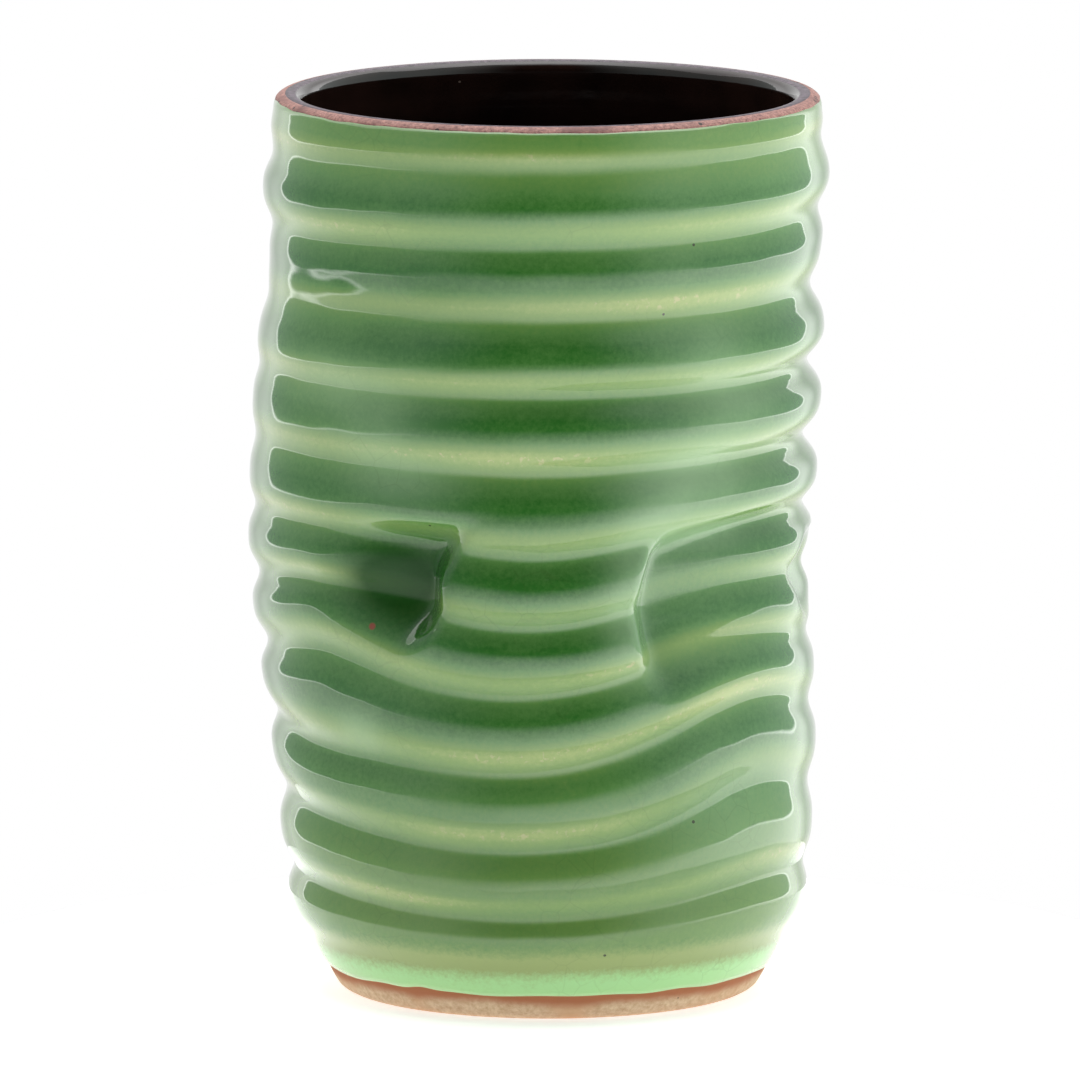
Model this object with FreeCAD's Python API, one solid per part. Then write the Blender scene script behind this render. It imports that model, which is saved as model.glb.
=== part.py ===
import FreeCAD, Part
import math
import os

# Thrown stoneware brush pot, millimetres, +Z up.
# The origin is the centre of the flat underside, and the front of the pot faces -Y.
# An azimuth is in degrees from the front, and grows towards +X.

# Overall sizes
HEIGHT = 120.0
BELLY_RADIUS = 37.75
BELLY_HEIGHT = 88.0
BELLY_CURVE = 0.00058
UNDERSIDE_RADIUS = 27.2

# Layers
GLAZE_THICKNESS = 0.5
LINING_THICKNESS = 0.35
WALL_THICKNESS = 4.5
FLOOR_HEIGHT = 7.0
FLOOR_FILLET = 9.0
FLOOR_DISC_RADIUS = 18.0

# Foot: the glaze stops a little above the ground, and the clay tapers in to the underside;
# the bare clay swells a little past the clay under the glaze, and its lowest edge is rounded
GLAZE_LINE_HEIGHT = 3.5
FOOT_TAPER_HEIGHT = 15.0
FOOT_TAPER = 5.4
FOOT_TAPER_POWER = 1.7
FOOT_EDGE_HEIGHT = 0.6
FOOT_EDGE_PULL = 0.45
FOOT_SWELL = 0.4
FOOT_ROW_STEP = 0.6

# Lip: two quarter ellipses with a nearly flat top between them
LIP_TUCK = 0.77
LIP_TUCK_START = 104.0
LIP_TUCK_POWER = 1.5
LIP_ARC_HEIGHT = 118.6
LIP_SEAM_RADIUS = 34.9
LIP_FLAT_WIDTH = 0.9
LIP_INNER_ARC = 1.5
BAND_BOTTOM = 119.1
MOUTH_BLEND = 14.0

# Throwing ridges: height of each crest, and half the depth of the valleys between them
RIDGE_CRESTS = (1.0, 12.0, 21.7, 33.0, 43.0, 52.0, 61.0, 69.5, 79.5, 89.0, 99.0, 109.0, 118.6)
RIDGE_DEPTH = 0.58
RIDGE_DEPTH_ABOVE_DENTS = 0.72
RIDGE_SHARPNESS = 0.2
RIDGE_ON_LINING = 0.35

# Heights between which the ridges rise out of the foot, weaken below the lip, end at the lip,
# change from the kind below the dents to the kind above them, and even out again
RIDGE_START = (5.0, 11.0)
RIDGE_WEAKENS = (109.0, 114.0)
RIDGE_END = (115.0, 118.0)
RIDGE_CHANGE = (50.0, 76.0)
RIDGE_EVENS_OUT = (96.0, 107.0)
RIDGE_WEAKENS_BY = 0.6

# The ridges are deeper on the -X side below the dents, and on the +X side above them
RIDGE_UNEVEN_BELOW = -0.2
RIDGE_UNEVEN_ABOVE = 0.6

# A weak ridge and a narrower wall below the top ridge
WAIST = 1.1
WAIST_HEIGHT = 97.5
WAIST_HALF_HEIGHT = 7.0
WAIST_WEAKENS_RIDGE = 0.45

# The thrown wall leans to -X at mid height
LEAN = 2.3
LEAN_HEIGHT = 60.0
LEAN_BELOW = 22.0
LEAN_ABOVE = 29.0

# Where the ridges were pushed up or down while the clay was soft:
# height change, centre azimuth, half width in degrees, centre height, half height
RIDGE_SHIFTS = (
    (-2.4, -8.0, 34.0, 41.0, 19.0),
    (-2.0, 2.0, 24.0, 60.0, 12.0),
    (4.6, 52.0, 26.0, 38.0, 18.0),
    (-2.9, -12.0, 50.0, 24.0, 17.0),
    (2.6, -48.0, 22.0, 53.0, 9.0),
    (-1.4, -57.0, 22.0, 36.0, 7.0),
    (3.0, 165.0, 30.0, 42.0, 16.0),
    (-2.0, -115.0, 26.0, 48.0, 14.0),
    (1.1, 90.0, 55.0, 104.0, 16.0),
    (-1.3, -90.0, 55.0, 104.0, 16.0),
)

# Finger dents, each with one steep side wall and one long slope: depth, azimuth of the steep wall,
# direction of the slope, its length in degrees, bottom and top height, the softness of those,
# the rise of the top edge per degree, and how far the steep wall bows in at the top and bottom
FINGER_DENTS = (
    (4.8, -20.0, -1, 30.0, 53.5, 67.2, 9.5, 4.8, 0.0, -5.0, 4.0),
    (3.8, 23.5, 1, 46.0, 47.5, 64.6, 12.0, 3.6, 0.06, 3.5, 2.0),
    (2.6, 72.0, 1, 26.0, 51.5, 61.0, 6.0, 4.0, 0.0, 4.0, 4.0),
    (4.0, 134.0, 1, 36.0, 50.0, 66.0, 8.0, 4.0, 0.04, 5.0, 4.0),
    (3.6, -148.0, -1, 36.0, 48.0, 65.0, 8.0, 4.0, 0.03, 5.0, 4.0),
)
DENT_WALL_DEGREES = 6.0
DENT_SMOOTHS_RIDGES = 0.7

# Clay squeezed forward between the two front dents, and a hollow above the +X one:
# size, azimuth, half width, height, half height
FRONT_BULGE = (0.5, 3.0, 20.0, 58.0, 11.0)
RIGHT_HOLLOW = (-0.65, 92.0, 48.0, 84.0, 20.0)

# Spline grid
COLUMNS = 144
ROW_STEP = 1.1
ARC_STEPS = 5
RELIEF_FADE_ROWS = 4


def smooth_step(value, low, high):
    """0 below low, 1 above high, and a smooth rise between them."""
    t = min(1.0, max(0.0, (value - low) / (high - low)))
    return t * t * (3.0 - 2.0 * t)


def turn_between(azimuth, centre):
    """Signed angle in degrees from centre to azimuth, by the short way round."""
    return (azimuth - centre + 180.0) % 360.0 - 180.0


def bump(azimuth, z, spot):
    """A rounded swelling on the wall: size, azimuth, half width, height, half height."""
    size, centre, half_width, height, half_height = spot
    across = turn_between(azimuth, centre) / half_width
    up = (z - height) / half_height
    return size * math.exp(-across * across - up * up)


def ridge_height(azimuth, z):
    """The height that a point had on the wheel, before the soft wall was pushed."""
    return z - sum(bump(azimuth, z, spot) for spot in RIDGE_SHIFTS)


def ridge_wave(height):
    """Throwing ridges: 1 on a crest, about -1 in a valley, with valleys sharper than crests."""
    lower = max(i for i, crest in enumerate(RIDGE_CRESTS[:-1]) if crest <= max(height, RIDGE_CRESTS[0]))
    pitch = RIDGE_CRESTS[lower + 1] - RIDGE_CRESTS[lower]
    turn = 2.0 * math.pi * (height - RIDGE_CRESTS[lower]) / pitch
    return math.cos(turn) - RIDGE_SHARPNESS * math.cos(2.0 * turn)


def dent_share(azimuth, height, dent):
    """How much of one finger dent's depth is reached at a point, from 0 to 1."""
    _, wall, direction, length, bottom, top, bottom_softness, top_softness, tilt, *bows = dent
    from_middle = (height - (bottom + top) / 2) / ((top - bottom) / 2)
    bow = bows[0] if from_middle > 0 else bows[1]
    inside = direction * turn_between(azimuth, wall) - bow * from_middle ** 2
    top = top + tilt * inside
    steep = smooth_step(inside, -DENT_WALL_DEGREES / 2, DENT_WALL_DEGREES / 2)
    slope = 1.0 - smooth_step(inside, 0.0, length)
    above_bottom = smooth_step(height, bottom - bottom_softness / 2, bottom + bottom_softness / 2)
    below_top = 1.0 - smooth_step(height, top - top_softness / 2, top + top_softness / 2)
    return steep * slope * above_bottom * below_top


def dent_depth(azimuth, height):
    """Total depth of the finger dents at a point, and how fully it lies in one of them."""
    shares = [dent_share(azimuth, height, dent) for dent in FINGER_DENTS]
    depth = sum(dent[0] * share for dent, share in zip(FINGER_DENTS, shares))
    return depth, max(shares)


def waist(z):
    """How fully a height lies in the narrow stretch below the top ridge, from 0 to 1."""
    return math.exp(-((z - WAIST_HEIGHT) / WAIST_HALF_HEIGHT) ** 2)


def ridge_strength(azimuth, z):
    """Half the depth of the ridges at a point, fading out at the foot and under the lip."""
    above = smooth_step(z, *RIDGE_CHANGE)
    depth = RIDGE_DEPTH + (RIDGE_DEPTH_ABOVE_DENTS - RIDGE_DEPTH) * above
    uneven = RIDGE_UNEVEN_BELOW + (RIDGE_UNEVEN_ABOVE - RIDGE_UNEVEN_BELOW) * above
    uneven *= 1.0 - smooth_step(z, *RIDGE_EVENS_OUT)
    fade = smooth_step(z, *RIDGE_START) * (1.0 - smooth_step(z, *RIDGE_END))
    fade *= 1.0 - RIDGE_WEAKENS_BY * smooth_step(z, *RIDGE_WEAKENS)
    fade *= 1.0 - WAIST_WEAKENS_RIDGE * waist(z)
    return depth * fade * (1.0 + uneven * math.sin(math.radians(azimuth)))


def relief(azimuth, z, ridge_scale):
    """Ridges, dents, bulge and hollow together, as a change of radius."""
    height = ridge_height(azimuth, z)
    depth, share = dent_depth(azimuth, height)
    ridge = ridge_strength(azimuth, z) * (1.0 - DENT_SMOOTHS_RIDGES * share) * ridge_wave(height)
    swelling = bump(azimuth, z, FRONT_BULGE) + bump(azimuth, z, RIGHT_HOLLOW)
    return ridge_scale * ridge - depth + swelling


def belly_radius(z):
    """Radius of the glazed outside without ridges, from the underside to the lip."""
    radius = BELLY_RADIUS - BELLY_CURVE * (z - BELLY_HEIGHT) ** 2 - WAIST * waist(z)
    if z < FOOT_TAPER_HEIGHT:
        radius -= FOOT_TAPER * (1.0 - z / FOOT_TAPER_HEIGHT) ** FOOT_TAPER_POWER
    if z > LIP_TUCK_START:
        reach = (z - LIP_TUCK_START) / (LIP_ARC_HEIGHT - LIP_TUCK_START)
        radius -= LIP_TUCK * min(1.0, reach) ** LIP_TUCK_POWER
    return radius


def outer_lip_arc(inset):
    """Half width and half height of the lip's outer quarter ellipse, inset from the glazed surface.

    The clay under it meets the clay under the lining, so its top is inset by the lining's thickness.
    """
    across = belly_radius(LIP_ARC_HEIGHT) - LIP_SEAM_RADIUS - inset
    up = HEIGHT - LIP_ARC_HEIGHT - inset * LINING_THICKNESS / GLAZE_THICKNESS
    return across, up


def outer_lip_radius(z, inset):
    """Radius on the outer quarter ellipse of the lip."""
    across, up = outer_lip_arc(inset)
    return LIP_SEAM_RADIUS + across * math.sqrt(max(0.0, 1.0 - ((z - LIP_ARC_HEIGHT) / up) ** 2))


def lean_at(z):
    """Sideways shift of the wall's centre at a height."""
    spread = LEAN_BELOW if z < LEAN_HEIGHT else LEAN_ABOVE
    return -LEAN * math.exp(-((z - LEAN_HEIGHT) / spread) ** 2)


def ring(z, radius_at):
    """One closed row of spline poles at a height, with a radius for each azimuth."""
    poles = []
    for column in range(COLUMNS):
        azimuth = 360.0 * column / COLUMNS
        radius = radius_at(azimuth)
        angle = math.radians(azimuth)
        x = lean_at(z) + radius * math.sin(angle)
        poles.append(FreeCAD.Vector(x, -radius * math.cos(angle), z))
    return poles


def outside_ring(z, inset):
    """A row on the outside, inset from the glazed surface."""
    if z > LIP_ARC_HEIGHT:
        return ring(z, lambda azimuth: outer_lip_radius(z, inset))
    return ring(z, lambda azimuth: belly_radius(z) - inset + relief(azimuth, z, 1.0))


def steps(low, high, step):
    """Evenly spaced values from low to high, about a step apart."""
    count = max(1, round((high - low) / step))
    return [low + (high - low) * i / count for i in range(count + 1)]


def outside_rings(low, high, inset):
    return [outside_ring(z, inset) for z in steps(low, high, ROW_STEP)]


def foot_rings():
    """The bare clay from the rounded edge of the underside up to the glaze line."""
    rings = [ring(0.0, lambda azimuth: UNDERSIDE_RADIUS)]
    for z in steps(0.0, FOOT_EDGE_HEIGHT, FOOT_EDGE_HEIGHT / 3) + steps(
        2 * FOOT_EDGE_HEIGHT, GLAZE_LINE_HEIGHT, FOOT_ROW_STEP
    ):
        pull = FOOT_EDGE_PULL * max(0.0, 1.0 - z / FOOT_EDGE_HEIGHT) ** 2
        swell = FOOT_SWELL * (1.0 - (z / GLAZE_LINE_HEIGHT) ** 2)
        radius = belly_radius(z) - GLAZE_THICKNESS + swell - pull
        rings.append(ring(z, lambda azimuth: radius))
    return rings


def band_rings(inset):
    """The outer corner of the lip, from the top of the green glaze to the seam on the lip's top."""
    across, up = outer_lip_arc(inset)
    start = math.asin((BAND_BOTTOM - LIP_ARC_HEIGHT) / up)
    rings = []
    for i in range(ARC_STEPS + 1):
        angle = start + (math.pi / 2 - start) * i / ARC_STEPS
        radius = LIP_SEAM_RADIUS + across * math.cos(angle)
        rings.append(ring(LIP_ARC_HEIGHT + up * math.sin(angle), lambda azimuth: radius))
    return rings


def lining_rings(inset):
    """The inside, from the seam on the lip down the wall to the edge of the floor disc."""
    rings = [ring(HEIGHT - inset, lambda azimuth: LIP_SEAM_RADIUS)]
    middle = LIP_SEAM_RADIUS - LIP_FLAT_WIDTH
    arc_centre = HEIGHT - LIP_INNER_ARC
    for i in range(ARC_STEPS + 1):
        angle = math.pi / 2 * i / ARC_STEPS
        radius = middle - (LIP_INNER_ARC - inset) * math.sin(angle)
        z = arc_centre + (LIP_INNER_ARC - inset) * math.cos(angle)
        rings.append(ring(z, lambda azimuth: radius))
    mouth = middle - LIP_INNER_ARC
    fillet_centre = FLOOR_HEIGHT + FLOOR_FILLET
    for z in reversed(steps(fillet_centre, arc_centre - ROW_STEP, ROW_STEP)):
        to_mouth = smooth_step(z, arc_centre - MOUTH_BLEND, arc_centre)
        plain = (1.0 - to_mouth) * (belly_radius(z) - WALL_THICKNESS) + to_mouth * mouth
        radius_at = lambda azimuth: plain + inset + relief(azimuth, z, RIDGE_ON_LINING)
        rings.append(ring(z, radius_at))
    corner = belly_radius(fillet_centre) - WALL_THICKNESS - FLOOR_FILLET
    for i in range(1, 2 * ARC_STEPS + 1):
        angle = math.pi / 4 * i / ARC_STEPS
        ease = 1.0 - smooth_step(i, 0.0, RELIEF_FADE_ROWS)
        z = fillet_centre - (FLOOR_FILLET + inset) * math.sin(angle)
        round_radius = corner + (FLOOR_FILLET + inset) * math.cos(angle)
        radius_at = lambda azimuth: round_radius + ease * relief(azimuth, z, RIDGE_ON_LINING)
        rings.append(ring(z, radius_at))
    rings.append(ring(FLOOR_HEIGHT - inset, lambda azimuth: FLOOR_DISC_RADIUS))
    return rings


def clamped_knots(count, degree):
    """Knot values and multiplicities of a clamped spline with a number of poles."""
    spans = count - degree
    knots = [float(i) for i in range(spans + 1)]
    multiplicities = [degree + 1] + [1] * (spans - 1) + [degree + 1]
    return knots, multiplicities


def skin(rings):
    """A face through rows of poles, closed round the pot and open at both end rows."""
    degree = min(3, len(rings) - 1)
    knots, multiplicities = clamped_knots(len(rings), degree)
    round_knots = [float(i) for i in range(COLUMNS + 1)]
    surface = Part.BSplineSurface()
    surface.buildFromPolesMultsKnots(
        rings, multiplicities, [1] * (COLUMNS + 1), knots, round_knots, False, True, degree, 3
    )
    return surface.toShape()


def end_edge(face, last):
    """The closed edge at the first or last row of a skin."""
    surface = face.Surface
    bounds = surface.bounds()
    return surface.uIso(bounds[1] if last else bounds[0]).toShape()


def flat_face(outline, hole=None):
    """A flat face inside one closed edge, and outside another when there is a hole."""
    wires = [Part.Wire(outline)]
    if hole is not None:
        wires.append(Part.Wire(hole))
    return Part.Face(wires, "Part::FaceMakerBullseye")


def closed_solid(faces):
    """One solid from faces that meet edge to edge."""
    shell = Part.Shell(faces)
    shell.sewShape()
    solid = Part.Solid(shell)
    if solid.Volume < 0:
        solid.reverse()
    return solid


def stoneware_body(foot, clay_outside, clay_band, clay_lining):
    """Clay wall, floor and foot, from the underside over the lip to the floor."""
    underside = flat_face(end_edge(foot, False))
    floor = flat_face(end_edge(clay_lining, True))
    return closed_solid([foot, clay_outside, clay_band, clay_lining, underside, floor])


def celadon_glaze(clay_outside):
    """Green coat on the outside, with a thin flat edge at the foot and under the lip band."""
    glassy = skin(outside_rings(GLAZE_LINE_HEIGHT, BAND_BOTTOM, 0.0))
    lower = flat_face(end_edge(glassy, False), end_edge(clay_outside, False))
    upper = flat_face(end_edge(glassy, True), end_edge(clay_outside, True))
    return closed_solid([glassy, clay_outside, lower, upper])


def rim_iron_band(clay_band):
    """Thin dry band round the outer corner of the lip."""
    dry = skin(band_rings(0.0))
    lower = flat_face(end_edge(dry, False), end_edge(clay_band, False))
    seam = Part.makeRuledSurface(end_edge(dry, True), end_edge(clay_band, True))
    return closed_solid([dry, clay_band, lower, seam])


def interior_glaze(clay_lining):
    """Dark lining: the lip's top, the inner wall and the floor."""
    glassy = skin(lining_rings(0.0))
    seam = Part.makeRuledSurface(end_edge(glassy, False), end_edge(clay_lining, False))
    top_floor = flat_face(end_edge(glassy, True))
    clay_floor = flat_face(end_edge(clay_lining, True))
    return closed_solid([glassy, clay_lining, seam, top_floor, clay_floor])


def main():
    os.makedirs("parts", exist_ok=True)
    foot = skin(foot_rings())
    clay_outside = skin(outside_rings(GLAZE_LINE_HEIGHT, BAND_BOTTOM, GLAZE_THICKNESS))
    clay_band = skin(band_rings(GLAZE_THICKNESS))
    clay_lining = skin(lining_rings(LINING_THICKNESS))
    nodes = {
        "stoneware_body": stoneware_body(foot, clay_outside, clay_band, clay_lining),
        "celadon_glaze": celadon_glaze(clay_outside),
        "rim_iron_band": rim_iron_band(clay_band),
        "interior_glaze": interior_glaze(clay_lining),
    }
    for name, solid in nodes.items():
        print(name, solid.ShapeType, solid.isValid(), round(solid.Volume, 1), solid.BoundBox)
        solid.exportStep("parts/" + name + ".step")


main()
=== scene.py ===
import math

import bpy
import numpy as np
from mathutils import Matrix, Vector


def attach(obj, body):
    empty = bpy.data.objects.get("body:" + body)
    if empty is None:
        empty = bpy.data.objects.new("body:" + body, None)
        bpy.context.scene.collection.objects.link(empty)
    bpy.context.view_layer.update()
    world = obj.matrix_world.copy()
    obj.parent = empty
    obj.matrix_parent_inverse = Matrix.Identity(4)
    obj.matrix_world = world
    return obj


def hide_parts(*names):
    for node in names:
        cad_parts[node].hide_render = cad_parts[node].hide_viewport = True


# Thrown stoneware brush pot. Lengths are in millimetres until a mesh is made, and +Z is up.
# An azimuth is in degrees from the front (-Y), and grows towards +X.

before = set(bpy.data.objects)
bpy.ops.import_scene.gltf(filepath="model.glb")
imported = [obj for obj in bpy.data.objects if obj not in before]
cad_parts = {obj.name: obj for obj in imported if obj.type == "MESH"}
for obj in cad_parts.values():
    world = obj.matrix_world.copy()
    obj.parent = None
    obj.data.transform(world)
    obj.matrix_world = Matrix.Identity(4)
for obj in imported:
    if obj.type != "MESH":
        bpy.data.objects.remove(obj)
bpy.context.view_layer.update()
MM = 0.001

# Overall sizes
HEIGHT = 120.0
BELLY_RADIUS = 37.75
BELLY_HEIGHT = 88.0
BELLY_CURVE = 0.00058
UNDERSIDE_RADIUS = 27.2

# Layers
GLAZE_THICKNESS = 0.5
LINING_THICKNESS = 0.35
WALL_THICKNESS = 4.5
FLOOR_HEIGHT = 7.0
FLOOR_FILLET = 9.0

# Foot
GLAZE_LINE_HEIGHT = 3.5
FOOT_TAPER_HEIGHT = 15.0
FOOT_TAPER = 5.4
FOOT_TAPER_POWER = 1.7
FOOT_EDGE_HEIGHT = 0.6
FOOT_EDGE_PULL = 0.45
FOOT_SWELL = 0.4

# Lip
LIP_TUCK = 0.77
LIP_TUCK_START = 104.0
LIP_TUCK_POWER = 1.5
LIP_ARC_HEIGHT = 118.6
LIP_SEAM_RADIUS = 34.9
LIP_FLAT_WIDTH = 0.9
LIP_INNER_ARC = 1.5
BAND_BOTTOM = 119.1
MOUTH_BLEND = 14.0

# Throwing ridges
RIDGE_CRESTS = (1.0, 12.0, 21.7, 33.0, 43.0, 52.0, 61.0, 69.5, 79.5, 89.0, 99.0, 109.0, 118.6)
RIDGE_DEPTH = 0.58
RIDGE_DEPTH_ABOVE_DENTS = 0.72
RIDGE_SHARPNESS = 0.2
RIDGE_ON_LINING = 0.35

# Heights between which the ridges rise out of the foot, weaken below the lip, end at the lip,
# change from the kind below the dents to the kind above them, and even out again
RIDGE_START = (5.0, 11.0)
RIDGE_WEAKENS = (109.0, 114.0)
RIDGE_END = (115.0, 118.0)
RIDGE_CHANGE = (50.0, 76.0)
RIDGE_EVENS_OUT = (96.0, 107.0)
RIDGE_WEAKENS_BY = 0.6
RIDGE_UNEVEN_BELOW = -0.2
RIDGE_UNEVEN_ABOVE = 0.6
WAIST = 1.1
WAIST_HEIGHT = 97.5
WAIST_HALF_HEIGHT = 7.0
WAIST_WEAKENS_RIDGE = 0.45

# Lean of the wall to -X
LEAN = 2.3
LEAN_HEIGHT = 60.0
LEAN_BELOW = 22.0
LEAN_ABOVE = 29.0

# Where the soft ridges were pushed up or down:
# height change, centre azimuth, half width in degrees, centre height, half height
RIDGE_SHIFTS = (
    (-2.4, -8.0, 34.0, 41.0, 19.0),
    (-2.0, 2.0, 24.0, 60.0, 12.0),
    (4.6, 52.0, 26.0, 38.0, 18.0),
    (-2.9, -12.0, 50.0, 24.0, 17.0),
    (2.6, -48.0, 22.0, 53.0, 9.0),
    (-1.4, -57.0, 22.0, 36.0, 7.0),
    (3.0, 165.0, 30.0, 42.0, 16.0),
    (-2.0, -115.0, 26.0, 48.0, 14.0),
    (1.1, 90.0, 55.0, 104.0, 16.0),
    (-1.3, -90.0, 55.0, 104.0, 16.0),
)

# Finger dents, each with one steep side wall and one long slope: depth, azimuth of the steep wall,
# direction of the slope, its length in degrees, bottom and top height, the softness of those,
# the rise of the top edge per degree, and how far the steep wall bows in at the top and bottom
FINGER_DENTS = (
    (4.8, -20.0, -1, 30.0, 53.5, 67.2, 9.5, 4.8, 0.0, -5.0, 4.0),
    (3.8, 23.5, 1, 46.0, 47.5, 64.6, 12.0, 3.6, 0.06, 3.5, 2.0),
    (2.6, 72.0, 1, 26.0, 51.5, 61.0, 6.0, 4.0, 0.0, 4.0, 4.0),
    (4.0, 134.0, 1, 36.0, 50.0, 66.0, 8.0, 4.0, 0.04, 5.0, 4.0),
    (3.6, -148.0, -1, 36.0, 48.0, 65.0, 8.0, 4.0, 0.03, 5.0, 4.0),
)
DENT_WALL_DEGREES = 6.0
DENT_SMOOTHS_RIDGES = 0.7
FRONT_BULGE = (0.5, 3.0, 20.0, 58.0, 11.0)
RIGHT_HOLLOW = (-0.65, 92.0, 48.0, 84.0, 20.0)

# Sets of waves for what is uneven: seed, number of waves, most turns round the pot,
# and the shortest and longest wave in height
HAND_WAVES = (21, 7, 9, (14.0, 40.0))
MELT_WAVES = (22, 12, 36, (5.0, 11.0))
THIN_WAVES = (31, 8, 5, (18.0, 60.0))
GLAZE_LINE_WAVES = (5, 10, 24, (1.0, 2.0))
GLAZE_TOP_WAVES = (11, 9, 40, (1.0, 2.0))

# Depth of the unevenness of the outside, and the heights where it sets in and dies out
RIPPLE_HANDS = 0.12
RIPPLE_MELT = 0.05
RIPPLE_STARTS = (4.0, 9.0)
RIPPLE_ENDS = (114.0, 118.0)

# Uneven edges of the green glaze: the line at the foot with one small notch, and the line at the lip
GLAZE_LINE_UNEVEN = 0.11
GLAZE_NOTCH = (0.5, -34.0, 4.0, 0.0, 1.0)
GLAZE_TOP = 119.35
GLAZE_TOP_UNEVEN = 0.05

# Thinner glaze and painted light from the table below: a pale line on the lower slope of each ridge,
# in degrees of the ridge wave, with a narrow edge above and a mostly wide edge below; it is fainter
# in the dents
THIN_AND_LIT_LINE = 270.0
THIN_AND_LIT_LINE_ABOVE = 55.0
THIN_AND_LIT_LINE_BELOW = 125.0
THIN_WIDE_SHARE = 0.65
THIN_LOSS_IN_DENTS = 0.5
THIN_MEAN = 0.82
THIN_VARIES = 0.16
THIN_STARTS = (6.0, 12.0)

# Under the lip and low on the pot the glaze never gets as thick as in the other valleys
UNDER_LIP_THIN = 0.4
UNDER_LIP_STARTS = (109.0, 114.0)
LOWER_THIN = 0.5
LOWER_THIN_FADES = (14.0, 44.0)

# Heights between which the pale band above the foot fades out
FOOT_BAND_FADES = (4.4, 12.5)

# Where glaze ran together thickly: strength, azimuth, half width, height, half height
POOLS = (
    (1.6, -31.0, 11.0, 59.0, 4.8),
)

# Painted reflections of the bright tent: pale patches on the glaze, in the same form
PAINTED_REFLECTIONS = (
    (0.3, 36.0, 10.0, 90.0, 5.0),
    (0.7, 36.0, 14.0, 74.0, 5.0),
    (0.45, 26.0, 8.0, 67.0, 6.0),
    (0.45, 45.0, 12.0, 83.0, 3.5),
    (0.5, 42.0, 12.0, 65.0, 3.0),
    (0.6, 21.0, 6.0, 55.0, 9.0),
    (0.4, -44.0, 14.0, 85.0, 4.0),
    (0.35, -34.0, 9.0, 80.0, 5.0),
    (0.5, -28.0, 12.0, 73.5, 3.5),
    (0.25, 44.0, 12.0, 28.0, 8.0),
    (0.5, -41.0, 6.0, 39.0, 3.0),
)

# A rust-red iron spot: azimuth, height, radius
IRON_SPOT = (-35.5, 53.0, 0.6)

# Mesh fineness, as columns round the pot and row heights: the outside where it shows and
# where a layer hides it, the lining where it shows and where it lies on the clay, and flat discs
FINE_COLUMNS = 360
HIDDEN_COLUMNS = 180
FINE_ROW = 0.7
HIDDEN_ROW = 1.3
LINING_COLUMNS = 240
LINING_HIDDEN_COLUMNS = 120
LINING_ROW = 0.9
LINING_HIDDEN_ROW = 2.0
FLAT_COLUMNS = 120
FOOT_ROWS_SHARE = 0.07
LIP_ROWS = 9
FILLET_ROWS = 13
FILLET_ROWS_WITH_RIDGES = 5.0
FLOOR_RINGS = (18.0, 12.0, 6.0, 2.0)
UNDERSIDE_RINGS = (3.0, 10.0, 20.0)

# Camera: a long lens looking slightly down across a table
CAMERA_DISTANCE = 2130.0
CAMERA_HEIGHT = 395.0
CAMERA_TARGET = (-1.07, 0.0, 59.8)
CAMERA_LENS = 532.0
CAMERA_SENSOR = 36.0
CAMERA_REACH = 20000.0

# Small round white table that glows a little
TABLE_RADIUS = 85.0
TABLE_RINGS = (5.0, 60.0)
TABLE_THICKNESS = 20.0
TABLE_GLOW = 0.55
TABLE_ROUGHNESS = 0.9


# ---------------------------------------------------------------- shape of the pot

def smooth_step(value, low, high):
    """0 below low, 1 above high, and a smooth rise between them."""
    t = np.clip((value - low) / (high - low), 0.0, 1.0)
    return t * t * (3.0 - 2.0 * t)


def turn_between(azimuth, centre):
    """Signed angle in degrees from centre to azimuth, by the short way round."""
    return (azimuth - centre + 180.0) % 360.0 - 180.0


def bump(azimuth, z, spot):
    """A rounded swelling on the wall: size, azimuth, half width, height, half height."""
    size, centre, half_width, height, half_height = spot
    across = turn_between(azimuth, centre) / half_width
    up = (z - height) / half_height
    return size * np.exp(-across * across - up * up)


def ridge_height(azimuth, z):
    """The height that a point had on the wheel, before the soft wall was pushed."""
    return z - sum(bump(azimuth, z, spot) for spot in RIDGE_SHIFTS)


def ridge_turn(height):
    """Place within a ridge, in turns: 0 on a crest, 0.5 in the valley above it."""
    crests = np.array(RIDGE_CRESTS)
    return np.interp(height, crests, np.arange(len(crests))) % 1.0


def ridge_wave(height):
    """Throwing ridges: 1 on a crest, about -1 in a valley, with valleys sharper than crests."""
    turn = 2.0 * np.pi * ridge_turn(height)
    return np.cos(turn) - RIDGE_SHARPNESS * np.cos(2.0 * turn)


def dent_share(azimuth, height, dent):
    """How much of one finger dent's depth is reached at a point, from 0 to 1."""
    _, wall, direction, length, bottom, top, bottom_softness, top_softness, tilt, *bows = dent
    from_middle = (height - (bottom + top) / 2) / ((top - bottom) / 2)
    bow = np.where(from_middle > 0, bows[0], bows[1])
    inside = direction * turn_between(azimuth, wall) - bow * from_middle ** 2
    top = top + tilt * inside
    steep = smooth_step(inside, -DENT_WALL_DEGREES / 2, DENT_WALL_DEGREES / 2)
    slope = 1.0 - smooth_step(inside, 0.0, length)
    above_bottom = smooth_step(height, bottom - bottom_softness / 2, bottom + bottom_softness / 2)
    below_top = 1.0 - smooth_step(height, top - top_softness / 2, top + top_softness / 2)
    return steep * slope * above_bottom * below_top


def dent_depth(azimuth, height):
    """Total depth of the finger dents at a point, and how fully it lies in one of them."""
    shares = [dent_share(azimuth, height, dent) for dent in FINGER_DENTS]
    depth = sum(dent[0] * share for dent, share in zip(FINGER_DENTS, shares))
    return depth, np.max(shares, axis=0)


def waist(z):
    """How fully a height lies in the narrow stretch below the top ridge, from 0 to 1."""
    return np.exp(-((z - WAIST_HEIGHT) / WAIST_HALF_HEIGHT) ** 2)


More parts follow.
